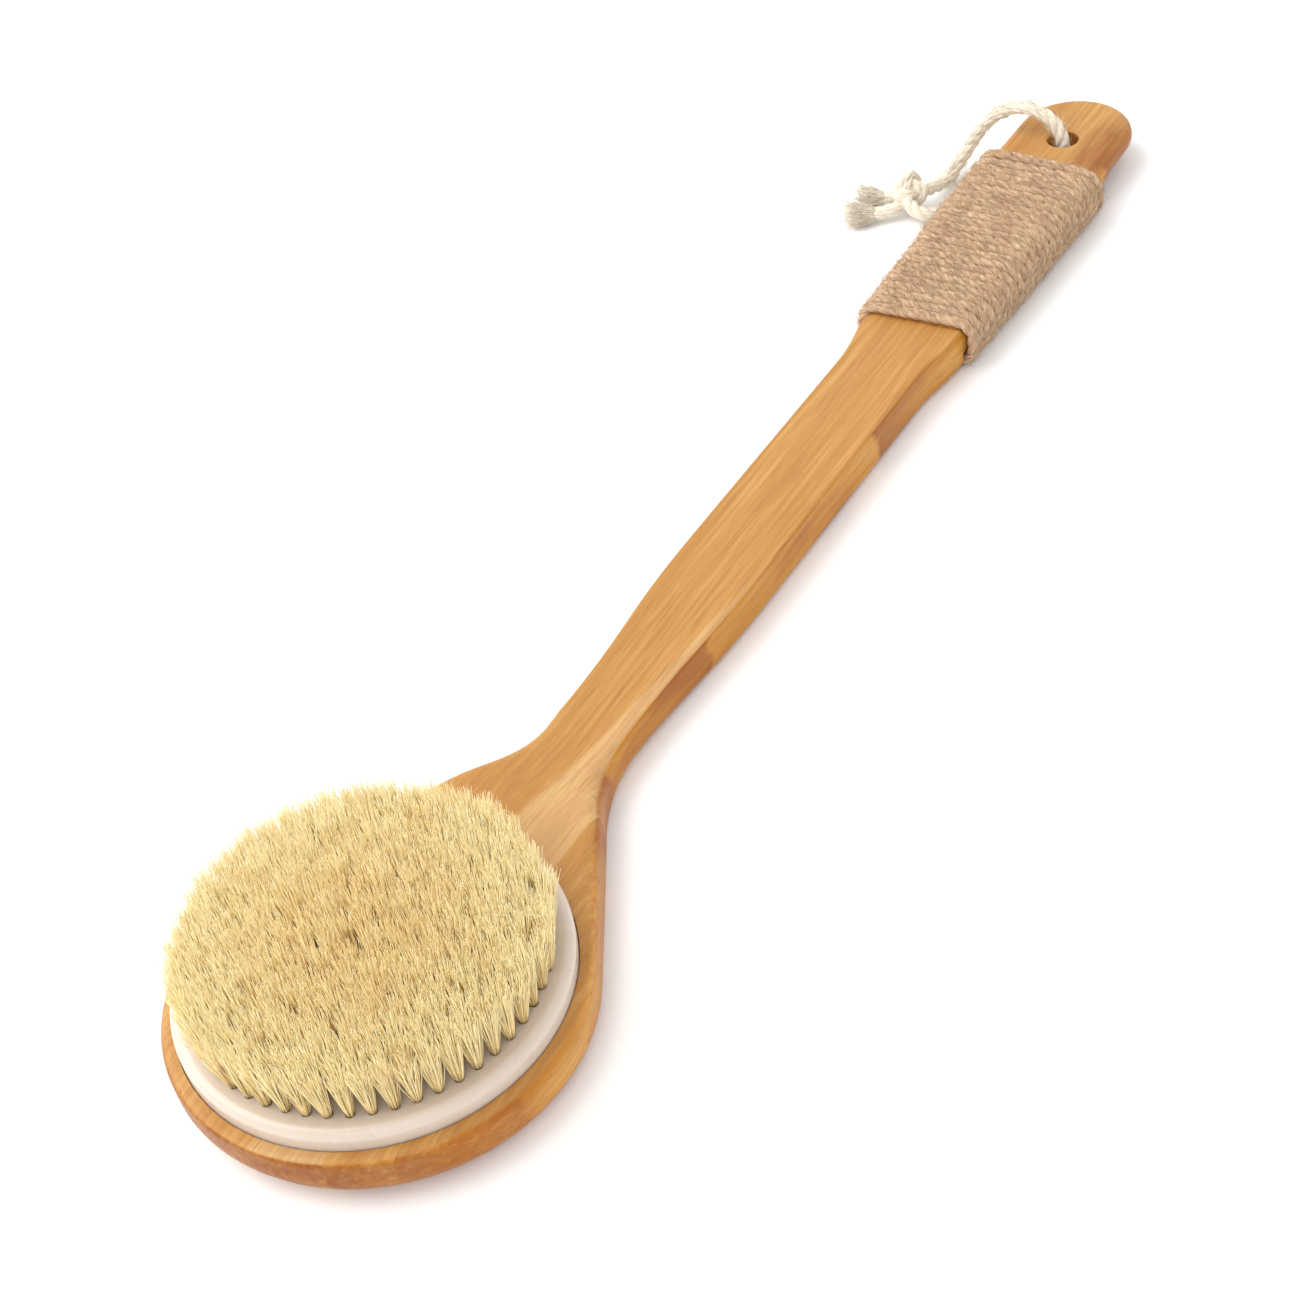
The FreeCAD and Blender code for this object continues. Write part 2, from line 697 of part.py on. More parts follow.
def route_path(points):
    """Straight runs joined by tangent arcs nearly as large as the runs allow; prints their radii."""
    share = 0.45  # of the shorter run that an arc takes up
    radii = []
    route = [FreeCAD.Vector(*point) for point in points]
    edges = []
    start = route[0]
    for before, corner, after in zip(route, route[1:], route[2:]):
        run_in = corner - before
        run_out = after - corner
        turn = run_in.getAngle(run_out)
        shorter = min(run_in.Length, run_out.Length)
        setback = share * shorter
        radius = setback / math.tan(turn / 2)
        radii.append(round(radius, 1))
        way_in = FreeCAD.Vector(run_in).normalize()
        way_out = FreeCAD.Vector(run_out).normalize()
        arc_start = corner - way_in * setback
        arc_end = corner + way_out * setback
        inward = (way_out - way_in).normalize()
        height = radius / math.cos(turn / 2) - radius
        edges.append(Part.LineSegment(start, arc_start).toShape())
        edges.append(Part.Arc(arc_start, corner + inward * height, arc_end).toShape())
        start = arc_end
    edges.append(Part.LineSegment(start, route[-1]).toShape())
    print("arc radii", radii)
    return Part.Wire(edges)


def build_tube(label, points, knot):
    """A cord's tube along its route, trimmed where it goes into the knot."""
    radius = float(sheet.get("cord_diameter")) / 2
    path = route_path(points)
    direction = FreeCAD.Vector(*points[1]) - FreeCAD.Vector(*points[0])
    ring = Part.Circle(FreeCAD.Vector(*points[0]), direction, radius).toShape()
    tube = path.makePipeShell([Part.Wire([ring])], True, False)
    wanted = round(math.pi * radius**2 * path.Length, 1)
    print(label, "is", round(path.Length, 1), "mm long, volume", round(tube.Volume, 1), "of", wanted)
    feature = doc.addObject("Part::Feature", label)
    feature.Label = label
    feature.Shape = tube.cut(knot.Shape)
    feature.Placement = FreeCAD.Placement()
    return feature


def build_cord():
    """The hanging cord's loop, its knot, its two tails and their frayed ends."""
    knot = doc.addObject("Part::Sphere", "cord_knot")
    knot.Label = "cord_knot"
    knot.setExpression("Radius", "Sizes.knot_radius")
    knot.Placement.Base = FreeCAD.Vector(*KNOT_CENTRE)
    doc.recompute()
    pieces = [knot, build_tube("hang_cord", CORD_ROUTE, knot)]
    for side, points in TAIL_ROUTES.items():
        pieces.append(build_tube(f"cord_tail_{side}", points, knot))
        end = FreeCAD.Vector(*points[-1])
        direction = end - FreeCAD.Vector(*points[-2])
        fray = doc.addObject("Part::Cone", f"frayed_end_{side}")
        fray.Label = f"frayed_end_{side}"
        fray.setExpression("Radius1", "Sizes.cord_diameter / 2")
        fray.setExpression("Radius2", "Sizes.fray_radius")
        fray.setExpression("Height", "Sizes.fray_length")
        fray.Placement = FreeCAD.Placement(end, FreeCAD.Rotation(FreeCAD.Vector(0, 0, 1), direction))
        pieces.append(fray)
    return pieces


def check_document():
    """Stop if any object of the document failed to build."""
    for item in doc.Objects:
        if "Invalid" in item.State or "Error" in item.State:
            raise RuntimeError(f"{item.Name} failed: {item.State}")


def export(pieces):
    """Check each sub-part and write it to its own file."""
    os.makedirs("parts", exist_ok=True)
    for piece in pieces:
        shape = piece.Shape
        if shape.isNull() or not shape.isValid() or not shape.Solids:
            raise RuntimeError(f"{piece.Label} has no sound solid")
        shape.exportStep(f"parts/{piece.Label}.step")
        print(piece.Label, len(shape.Solids), "solids", round(shape.Volume), "mm3")


fill_sheet()
parts = build_staves(build_wood())
parts.append(build_plate())
parts.append(build_adhesive())
parts.extend(build_tuft_ring(ring) for ring in range(TUFT_RINGS))
parts.append(build_anchors())
parts.append(build_twine())
parts.extend(build_cord())
doc.recompute()
check_document()
export(parts)
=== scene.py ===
import math

import bpy
import numpy as np
from mathutils import Matrix, Vector


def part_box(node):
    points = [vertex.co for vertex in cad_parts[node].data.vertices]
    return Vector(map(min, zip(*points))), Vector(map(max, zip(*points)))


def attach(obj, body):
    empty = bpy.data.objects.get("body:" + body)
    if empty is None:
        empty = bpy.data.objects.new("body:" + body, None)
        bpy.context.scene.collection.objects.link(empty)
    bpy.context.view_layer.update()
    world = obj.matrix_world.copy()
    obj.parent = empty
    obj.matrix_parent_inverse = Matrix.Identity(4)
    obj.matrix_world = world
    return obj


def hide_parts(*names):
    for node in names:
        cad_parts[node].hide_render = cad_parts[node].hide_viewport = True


# A long-handled dry body brush: a bamboo paddle, a plastic plate of bristles, a twine grip and a
# cotton loop to hang it by. Sizes are millimetres, and MM turns them into Blender's metres.

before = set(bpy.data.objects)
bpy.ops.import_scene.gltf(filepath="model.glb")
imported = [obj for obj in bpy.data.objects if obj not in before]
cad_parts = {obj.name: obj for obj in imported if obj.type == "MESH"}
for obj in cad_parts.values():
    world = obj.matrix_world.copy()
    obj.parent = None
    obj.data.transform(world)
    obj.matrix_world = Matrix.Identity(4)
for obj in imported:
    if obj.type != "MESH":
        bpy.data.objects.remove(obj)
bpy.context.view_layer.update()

MM = 0.001
FULL_TURN = 2 * math.pi
GOLDEN_TURN = math.radians(137.5)
rng = np.random.default_rng(7)

# Tufts stand in rings, as in the part.
TUFT_RINGS = 9
OUTER_RING_RADIUS = 37.8
RING_SPACING = 4.4
TUFT_SPACING = 4.48
BRISTLES_PER_TUFT = 120
TUFT_ROOT_RADIUS = 0.72
TUFT_FAN_RADIUS = 2.75
ROOT_SINK = 1.0
BRISTLE_RADIUS = 0.115
TRIM_DOME = 2.0

# The grip winding
TWINE_TURNS = 24
TWINE_PLIES = 3
TWINE_THICKNESS = 2.8
TWINE_CORNER = 5.0
TWINE_BULGE = 0.5
LAYS_PER_TURN = 8.23
POINTS_PER_LAY = 16
LAST_TURN_GAP = 1.7
WINDING_TILT = 1.5

# The hanging loop
CORD_DIAMETER = 4.5
CORD_STRANDS = 3
CORD_YARNS = 5
CORD_LAY = 11.0
CORD_ROUTE = [
    (327.8, 33.1, 4.8),
    (336.2, 30.7, 2.7),
    (345.6, 31.2, 3.0),
    (353.2, 29.4, 7.8),
    (356.8, 25.0, 15.2),
    (357.6, 16.2, 20.4),
    (356.6, 7.4, 20.6),
    (355.6, 1.0, 16.2),
    (355.4, -0.6, 9.4),
    (355.9, 0.6, 5.0),
    (356.4, 4.8, 2.5),
    (356.2, 11.4, 2.5),
    (352.4, 18.6, 2.5),
    (345.4, 23.1, 2.5),
    (337.2, 23.6, 2.5),
    (329.8, 22.9, 2.5),
    (323.2, 23.6, 2.5),
    (317.9, 27.0, 2.7),
    (317.4, 32.8, 3.9),
    (321.2, 36.4, 5.8),
]
TAIL_LOWER_ROUTE = [(320.7, 36.6, 4.2), (317.7, 38.2, 3.3), (315.0, 41.2, 2.7), (313.4, 43.6, 3.0)]
TAIL_UPPER_ROUTE = [(323.6, 39.2, 3.2), (321.8, 44.3, 3.4)]
FRAY_LENGTH = 8.6

# The camera, round the point of the handle that it looks at
CAMERA_AZIMUTH = -51.6
CAMERA_ELEVATION = 41.9
CAMERA_ROLL = -10.8
CAMERA_DISTANCE = 528.6
CAMERA_TARGET = (113.5, 1.4, 7.8)
CAMERA_LENS = 60.53
CAMERA_SENSOR = 36


# --- Materials -------------------------------------------------------------------------------


def tone(red, green, blue):
    """A colour given as it looks on a screen, from 0 to 255, as Blender's linear colour."""
    screen = np.array([red, green, blue]) / 255
    linear = np.where(screen <= 0.04045, screen / 12.92, ((screen + 0.055) / 1.055) ** 2.4)
    return (*linear.tolist(), 1.0)


class Finish:
    """One material, with short ways to add nodes and join them."""

    def __init__(self, name, **plain):
        self.material = bpy.data.materials.new(name)
        self.material.use_nodes = True
        self.tree = self.material.node_tree
        self.shader = self.tree.nodes["Principled BSDF"]
        self.places = self.tree.nodes.new("ShaderNodeTexCoord").outputs["Object"]
        for socket, value in plain.items():
            self.shader.inputs[socket.replace("_", " ")].default_value = value

    def feed(self, socket, value):
        if isinstance(value, bpy.types.NodeSocket):
            self.tree.links.new(value, socket)
        else:
            socket.default_value = value

    def add(self, kind, output, inputs, **settings):
        node = self.tree.nodes.new("ShaderNode" + kind)
        for name, value in settings.items():
            setattr(node, name, value)
        for name, value in inputs.items():
            self.feed(node.inputs[name], value)
        return node.outputs[output]

    def stretched(self, scale, places=None):
        inputs = {"Vector": places or self.places, "Scale": scale}
        return self.add("Mapping", "Vector", inputs)

    def noise(self, scale, detail=2.0, places=None, roughness=0.5, warp=0.0):
        """Noise from 0 to 1, at scale patches to the metre along each axis."""
        inputs = {
            "Vector": self.stretched(scale, places),
            "Scale": 1.0,
            "Detail": detail,
            "Roughness": roughness,
            "Distortion": warp,
        }
        return self.add("TexNoise", "Fac", inputs)

    def span(self, value, low, high, to_low=0.0, to_high=1.0):
        """The value carried from one range to another, and held inside it."""
        inputs = {
            "Value": value,
            "From Min": low,
            "From Max": high,
            "To Min": to_low,
            "To Max": to_high,
        }
        return self.add("MapRange", "Result", inputs, clamp=True)

    def math(self, operation, first, second=0.0):
        node = self.tree.nodes.new("ShaderNodeMath")
        node.operation = operation
        self.feed(node.inputs[0], first)
        self.feed(node.inputs[1], second)
        return node.outputs[0]

    def mix(self, share, first, second, blend="MIX"):
        inputs = {"Fac": share, "Color1": first, "Color2": second}
        return self.add("MixRGB", "Color", inputs, blend_type=blend)

    def axis(self, name, vector=None):
        return self.add("SeparateXYZ", name, {"Vector": vector or self.places})

    def normal(self, name):
        return self.axis(name, self.add("NewGeometry", "Normal", {}))

    def each_strand(self):
        return self.add("NewGeometry", "Random Per Island", {})

    def strand_places(self):
        """Metres along a strand, metres round it, and a number of its own for each strand."""
        return self.add("Attribute", "Vector", {}, attribute_name="strand")

    def colour(self, value):
        self.feed(self.shader.inputs["Base Color"], value)

    def roughness(self, value):
        self.feed(self.shader.inputs["Roughness"], value)

    def bump(self, height, distance, strength=1.0):
        inputs = {"Height": height, "Distance": distance, "Strength": strength}
        self.feed(self.shader.inputs["Normal"], self.add("Bump", "Normal", inputs))


def bamboo(name, face, side, node_marks, shift, light_wedge=False):
    """Lacquered bamboo: straight fibres along the handle, dark bundles and a few node marks."""
    finish = Finish(name, Coat_Weight=0.08, Coat_Roughness=0.3, Specular_IOR_Level=0.2)
    inputs = {"Vector": finish.places, "Location": (shift, shift, 0.0)}
    grain = finish.add("Mapping", "Vector", inputs)
    broad = finish.noise((6.0, 110.0, 110.0), 2.0, grain)
    fibres = finish.noise((26.0, 760.0, 760.0), 5.0, grain, 0.7)
    bundles = finish.noise((60.0, 1300.0, 1300.0), 2.0, grain)
    patches = finish.noise((22.0, 70.0, 70.0), 3.0, grain)
    upright = finish.span(finish.normal("Z"), 0.60, 0.82)
    # Side colour, darker and more orange than the face: partly the strip's own side skin, partly
    # painted shade.
    side_skin_and_shade = finish.mix(finish.span(patches, 0.36, 0.52), tone(168, 96, 10), side)
    side_skin_and_shade = finish.mix(finish.span(patches, 0.56, 0.72, 0.0, 0.7), side_skin_and_shade, tone(220, 166, 80))
    side_skin_and_shade = finish.mix(node_share(finish, node_marks), side_skin_and_shade, tone(150, 78, 4))
    lit = face
    if light_wedge:
        lit = finish.mix(tip_shade_share(finish), face, tone(140, 76, 16))
        lit = finish.mix(wedge_share(finish), lit, tone(206, 168, 115))
    # Upward faces take the face colour and the sides the side colour, so the sides carry painted
    # shade.
    body = finish.mix(upright, side_skin_and_shade, lit)
    # Cut ends darker and speckled: partly real end grain, partly painted shade on the rim.
    body = finish.mix(end_grain_and_shade_share(finish, upright), body, tone(136, 70, 12))
    pale = finish.mix(0.4, body, tone(209, 173, 116))
    deep = finish.mix(0.42, body, tone(130, 70, 23))
    colour = finish.mix(finish.span(broad, 0.34, 0.66), deep, pale)
    colour = finish.mix(0.55, body, colour)
    streaks = finish.span(fibres, 0.36, 0.60)
    colour = finish.mix(streaks, finish.mix(0.85, colour, deep), colour)
    gleams = finish.span(fibres, 0.56, 0.72, 0.0, 0.6)
    colour = finish.mix(gleams, colour, pale)
    dashes = finish.span(bundles, 0.60, 0.74, 0.0, 0.32)
    colour = finish.mix(dashes, colour, tone(121, 67, 25))
    finish.colour(colour)
    finish.roughness(finish.span(fibres, 0.3, 0.7, 0.36, 0.54))
    finish.bump(finish.math("ADD", fibres, bundles), 0.0001, 0.5)
    return finish.material


def node_share(finish, node_marks):
    """How dark the skin is at its nodes: dark from one place on, and fading along the handle."""
    sway = finish.span(finish.noise((60.0, 200.0, 200.0), 2.0), 0.3, 0.7, -0.0015, 0.0015)
    along = finish.math("ADD", finish.axis("X"), sway)
    share = 0.0
    for place, fade_end, strength in node_marks:
        edge = 0.002 if fade_end > place else -0.002
        fading = finish.span(along, place * MM, fade_end * MM, strength, 0.0)
        begun = finish.span(along, place * MM - edge, place * MM)
        share = finish.math("MAXIMUM", share, finish.math("MULTIPLY", fading, begun))
    return share


def end_grain_and_shade_share(finish, upright):
    """How far the wood there is a cut end, speckled by its fibres, rather than a side: partly real
    end grain, partly painted shade on the head's rim.
    """
    across = finish.math("ABSOLUTE", finish.normal("X"))
    ends = finish.span(across, 0.35, 0.9, 0.0, 0.95)
    specks = finish.span(finish.noise((700.0, 700.0, 700.0), 2.0), 0.4, 0.6, 0.65, 1.0)
    flank = finish.span(upright, 0.0, 1.0, 1.0, 0.0)
    return finish.math("MULTIPLY", finish.math("MULTIPLY", ends, specks), flank)


def wedge_share(finish):
    """A lighter wedge on the neck's face, beside a crisp slanting line."""
    x, y = finish.axis("X"), finish.axis("Y")
    slope = finish.span(x, 0.054, 0.148, -0.002, -0.0112)
    inside = finish.span(finish.math("SUBTRACT", slope, y), -0.0004, 0.0005)
    return finish.math("MULTIPLY", inside, finish.span(x, 0.158, 0.120, 0.0, 0.8))


def tip_shade_share(finish):
    """Darker towards the -Y edge of the tip's face, just beyond the grip."""
    near_edge = finish.span(finish.axis("Y"), -0.0050, -0.0100)
    near_grip = finish.span(finish.axis("X"), 0.376, 0.362)
    beyond_grip = finish.span(finish.axis("X"), 0.330, 0.345, 0.0, 0.9)
    ragged = finish.span(finish.noise((60.0, 300.0, 300.0), 3.0), 0.35, 0.6, 0.55, 1.0)
    shade = finish.math("MULTIPLY", near_edge, finish.math("MULTIPLY", near_grip, beyond_grip))
    return finish.math("MULTIPLY", shade, ragged)


def plate_plastic():
    """Milky translucent polypropylene, with the soft haze of a moulded part."""
    finish = Finish(
        "plate_polypropylene",
        Subsurface_Weight=0.35,
        Subsurface_Radius=(0.004, 0.0034, 0.003),
        Subsurface_Scale=1.0,
        Coat_Weight=0.3,
        Coat_Roughness=0.12,
    )
    haze = finish.noise((70.0, 70.0, 70.0), 3.0)
    finish.colour(finish.mix(haze, tone(200, 184, 170), tone(212, 198, 184)))
    finish.roughness(finish.span(haze, 0.3, 0.7, 0.24, 0.36))
    finish.bump(finish.noise((900.0, 900.0, 900.0)), 0.00002, 0.5)
    return finish.material


def hot_glue():
    """The amber glue under the plate."""
    finish = Finish("plate_glue", Transmission_Weight=0.0)
    cloud = finish.noise((240.0, 240.0, 240.0), 3.0)
    finish.colour(finish.mix(cloud, tone(163, 133, 79), tone(189, 168, 125)))
    finish.roughness(finish.span(cloud, 0.3, 0.7, 0.3, 0.5))
    finish.bump(cloud, 0.0002)
    return finish.material


def anchor_metal():
    """The flat wire that holds each tuft in its hole."""
    finish = Finish("anchor_steel", Metallic=1.0)
    grain = finish.noise((500.0, 4000.0, 500.0), 2.0)
    finish.colour(finish.mix(grain, tone(150, 146, 140), tone(198, 194, 186)))
    finish.roughness(finish.span(grain, 0.3, 0.7, 0.28, 0.45))
    return finish.material


def bristle_hair(root_height, tip_height):
    """Natural bristle: cream at the tip, darker tan towards the root and towards the head's middle
    as painted shade, and no two quite alike.
    """
    finish = Finish("natural_bristle", Specular_IOR_Level=0.3)
    own = finish.each_strand()
    # Darker tan low down and cream at the tips: painted shade deep in the tufts.
    root_shade_rise = finish.span(finish.axis("Z"), root_height, tip_height)
    colour = finish.mix(root_shade_rise, tone(255, 230, 166), tone(255, 247, 204))
    colour = finish.mix(finish.span(own, 0.35, 1.0, 0.0, 0.55), colour, tone(246, 214, 150))
    flecks = finish.noise((120.0, 120.0, 40.0), 2.0)
    colour = finish.mix(finish.span(flecks, 0.5, 0.75, 0.0, 0.4), colour, tone(240, 204, 136))
    # Darker and more golden towards the head's middle: painted shade.
    reach = finish.add("VectorMath", "Value", {"Vector": finish.places}, operation="LENGTH")
    middle = finish.span(reach, 0.030, 0.046, 0.45, 0.0)
    colour = finish.mix(middle, colour, tone(240, 200, 122))
    finish.colour(colour)
    finish.roughness(finish.span(own, 0.0, 1.0, 0.42, 0.6))
    return finish.material


def fibre_finish(name, light, dark, deep, streak, fleck):
    """Spun fibre: fine streaks that follow each strand, with flecks and a soft sheen."""
    finish = Finish(name, Sheen_Weight=0.2, Sheen_Roughness=0.6, Specular_IOR_Level=0.15)
    strand = finish.strand_places()
    hairs = finish.noise((streak, 4200.0, 40.0), 4.0, strand, 0.65)
    blotches = finish.noise((160.0, 160.0, 160.0), 3.0)
    colour = finish.mix(finish.span(hairs, 0.38, 0.62), dark, light)
    colour = finish.mix(finish.span(blotches, 0.5, 0.78, 0.0, fleck), colour, deep)
    finish.colour(colour)
    finish.roughness(finish.span(hairs, 0.3, 0.7, 0.95, 0.78))
    finish.bump(hairs, 0.0005, 1.0)
    return finish.material


def floor_finish():
    """A plain pale floor."""
    finish = Finish("pale_floor")
    grain = finish.noise((40.0, 40.0, 40.0), 2.0)
    finish.colour(finish.mix(grain, (0.93, 0.93, 0.93, 1.0), (0.95, 0.95, 0.95, 1.0)))
    finish.roughness(finish.span(grain, 0.0, 1.0, 0.85, 0.95))
    return finish.material


# --- Mesh code -------------------------------------------------------------------------------


def unit(vectors):
    return vectors / np.maximum(np.linalg.norm(vectors, axis=-1, keepdims=True), 1e-12)


def headings(paths):
    """The direction of travel at every point of each path."""
    return unit(np.gradient(paths, axis=-2))


def side_directions(paths, sideways):
    """Two directions square to each path, the first as near as can be to sideways."""
    ahead = headings(paths)
    first = sideways - (sideways * ahead).sum(-1, keepdims=True) * ahead
    first = unit(first)
    return first, np.cross(ahead, first)


def twist(paths, sideways, count, offset, turns, flat=1.0):
    """Each path turned into count strands that twist round it. Gives their paths and sideways."""
    first, second = side_directions(paths, sideways)
    made, made_ways = [], []
    for strand in range(count):
        angle = turns[..., None] + FULL_TURN * strand / count
        out = np.cos(angle) * first * flat + np.sin(angle) * second
        made.append(paths + offset * out)
        made_ways.append(unit(out))
    return np.concatenate(made), np.concatenate(made_ways)


def sweep(paths, sideways, radii, sides):
    """Tubes along paths (tube, point, 3). Gives points, faces and each point's place on its tube."""
    first, second = side_directions(paths, sideways)
    tubes, stations = paths.shape[:2]
    angle = FULL_TURN * np.arange(sides) / sides
    ring = np.cos(angle)[:, None] * first[:, :, None] + np.sin(angle)[:, None] * second[:, :, None]
    points = paths[:, :, None] + ring * radii[:, :, None, None]
    index = np.arange(tubes * stations * sides).reshape(tubes, stations, sides)
    after = np.roll(index, -1, axis=2)
    quads = np.stack([index[:, :-1], after[:, :-1], after[:, 1:], index[:, 1:]], axis=-1)
    caps = np.concatenate([index[:, 0, ::-1], index[:, -1]])
    steps = np.linalg.norm(np.diff(paths, axis=1), axis=-1)
    along = np.concatenate([np.zeros((tubes, 1)), np.cumsum(steps, axis=1)], axis=1)
    place = np.zeros(points.shape)
    place[..., 0] = along[:, :, None]
    place[..., 1] = radii[:, :, None] * np.abs(angle - math.pi)
    place[..., 2] = np.arange(tubes)[:, None, None]
    faces = quads.reshape(-1, 4).tolist() + caps.tolist()
    return points.reshape(-1, 3), faces, place.reshape(-1, 3)


def add_piece(name, built, material, slot, *stands_for):
    """A new piece of the brush from points, faces and strand places, in millimetres."""
    points, faces, places = built
    mesh = bpy.data.meshes.new(name)
    mesh.from_pydata((points * MM).tolist(), [], faces)
    mesh.polygons.foreach_set("use_smooth", np.ones(len(mesh.polygons), bool))
    strand = mesh.attributes.new("strand", "FLOAT_VECTOR", "POINT")
    strand.data.foreach_set("vector", (places * MM).astype(np.float32).ravel())
    mesh.materials.append(material)
    mesh.update()
    piece = bpy.data.objects.new(name, mesh)
    bpy.context.scene.collection.objects.link(piece)
    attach(piece, "root")
    if stands_for:
        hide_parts(*stands_for)
    return piece


def carried(path):
    """A sideways direction carried along a path without twisting."""
    ahead = headings(path)
    ways = [unit(np.cross(ahead[0], [0.3, 0.2, 1.0]))]
    for heading in ahead[1:]:
        ways.append(unit(ways[-1] - (ways[-1] @ heading) * heading))
    return np.array(ways)


def spaced(path, step):
    """The path again, with its points about step apart."""
    gaps = np.linalg.norm(np.diff(path, axis=0), axis=1)
    along = np.concatenate([[0], np.cumsum(gaps)])
    wanted = np.linspace(0, along[-1], max(4, round(along[-1] / step)))
    return np.stack([np.interp(wanted, along, path[:, k]) for k in range(3)], axis=1)


def spline_points(name, route):
    """The smooth line of a route: a NURBS spline with the route's points as its control points."""
    curve = bpy.data.curves.new(name, "CURVE")
    curve.dimensions = "3D"
    curve.resolution_u = 24
    spline = curve.splines.new("NURBS")
    spline.points.add(len(route) - 1)
    for point, place in zip(spline.points, route):
        point.co = (*(value * MM for value in place), 1.0)
    spline.order_u = 3
    spline.use_endpoint_u = True
    guide = bpy.data.objects.new(name, curve)
    mesh = bpy.data.meshes.new_from_object(guide)
    points = np.array([vertex.co for vertex in mesh.vertices]) / MM
    bpy.data.objects.remove(guide)
    bpy.data.meshes.remove(mesh)
    bpy.data.curves.remove(curve)
    return points


# --- Brush head ------------------------------------------------------------------------------


def tuft_centres(ring):
    """Where one ring's tufts stand."""
    radius = OUTER_RING_RADIUS - RING_SPACING * ring
    count = int(FULL_TURN * radius / TUFT_SPACING)
    angle = GOLDEN_TURN * ring + FULL_TURN * np.arange(count) / count
    return np.stack([radius * np.cos(angle), radius * np.sin(angle)], axis=-1)


def make_tuft_ring(ring, plate_top, tip_top, material):
    """One ring of tufts, each a fan of thin tapering bristles with uneven tips."""
    centres = tuft_centres(ring)[:, None]
    tufts, each = len(centres), BRISTLES_PER_TUFT
    share = np.sqrt((np.arange(each) + 0.5) / each)
    spin = GOLDEN_TURN * np.arange(each) + rng.uniform(0, FULL_TURN, (tufts, 1))
    spread = share[:, None] * np.stack([np.cos(spin), np.sin(spin)], axis=-1)
    lean = 0.014 * centres + rng.normal(0, 0.36, (tufts, 1, 2))
    root = centres + TUFT_ROOT_RADIUS * spread
    tip = centres + lean + TUFT_FAN_RADIUS * spread + rng.normal(0, 0.42, (tufts, each, 2))
    reach = np.linalg.norm(tip, axis=-1) / OUTER_RING_RADIUS
    height = tip_top - TRIM_DOME * reach**2 + rng.normal(0, 0.3, (tufts, 1))
    height = height - rng.exponential(0.9, (tufts, each))
    bow = rng.normal(0, 0.25, (tufts, each, 2))
    low = plate_top - ROOT_SINK
    paths = []
    for part in (0.0, 0.3, 0.65, 1.0):
        flat = root + (tip - root) * part**1.15 + bow * math.sin(math.pi * part)
        paths.append(np.concatenate([flat, (low + (height - low) * part)[..., None]], axis=-1))
    paths = np.stack(paths, axis=2).reshape(tufts * each, 4, 3)
    turn = rng.uniform(0, FULL_TURN, len(paths))
    sideways = np.stack([np.cos(turn), np.sin(turn), np.zeros(len(paths))], axis=-1)
    taper = np.array([1.0, 1.0, 0.85, 0.35])
    radii = BRISTLE_RADIUS * rng.uniform(0.75, 1.2, (len(paths), 1)) * taper
    built = sweep(paths, np.repeat(sideways[:, None], 4, axis=1), radii, 3)
    name = f"tuft_ring_{ring + 1}"
    return add_piece(f"bristles_{ring + 1}", built, material, "bristle", name)


def make_bristles():
    plate_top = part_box("bristle_plate")[1].z / MM
    tip_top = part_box(f"tuft_ring_{TUFT_RINGS}")[1].z / MM
    material = bristle_hair(plate_top * MM, tip_top * MM)
    for ring in range(TUFT_RINGS):
        make_tuft_ring(ring, plate_top, tip_top, material)


# --- Twine grip ------------------------------------------------------------------------------


def winding_line():
    """The middle of the twine: 24 turns round the handle, and the outward direction there."""
    low, high = (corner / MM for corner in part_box("grip_twine"))
    half = TWINE_THICKNESS / 2
    wide = high.y - half + TWINE_BULGE
    narrow = wide - 2.8
    middle = (wide + narrow) / 2
    bottom, top = low.z + half, high.z - half
    quarter = np.linspace(0, math.pi / 2, 9)
    turn = np.concatenate([quarter + math.pi / 2 * side for side in range(-1, 3)])
    away_y, away_z = np.cos(turn), np.sin(turn)
    corner_y = np.repeat([1, 1, -1, -1], 9) * (middle - TWINE_CORNER)
    corner_z = np.repeat([-1, 1, 1, -1], 9) * ((top - bottom) / 2 - TWINE_CORNER)
    loop = np.stack([corner_y, corner_z + (top + bottom) / 2, away_y, away_z], axis=-1)
    loop[:, :2] += TWINE_CORNER * loop[:, 2:]
    start = loop[0] * [0, 1, 0, 1]
    loop = np.concatenate([[start], loop, [start]])
    steps = np.linalg.norm(np.diff(loop[:, :2], axis=0), axis=1)
    around = np.concatenate([[0], np.cumsum(steps)])
    points = int(TWINE_TURNS * LAYS_PER_TURN * POINTS_PER_LAY)
    turns = np.linspace(0, TWINE_TURNS, points)
    place = (turns % 1) * around[-1]
    y, z, out_y, out_z = (np.interp(place, around, loop[:, k]) for k in range(4))
    share = turns / TWINE_TURNS
    pitch = (high.x - low.x) / (TWINE_TURNS + 1)
    x = low.x - 0.2 * pitch + share * (high.x - low.x - 0.3 * pitch)
    last = np.clip((turns - TWINE_TURNS + 1) / 0.7, 0, 1)
    x = x + LAST_TURN_GAP * np.sin(math.pi * last) + WINDING_TILT * share * y / wide
    path = np.stack([x, y * (narrow + (wide - narrow) * share) / middle, z], axis=-1)
    return path, np.stack([np.zeros(points), out_y, out_z], axis=-1), turns, pitch


def smooth_noise(count, every, size):
    """Slow random drift along a strand."""
    knots = rng.normal(0, size, count // every + 2)
    return np.interp(np.arange(count), np.arange(len(knots)) * every, knots)


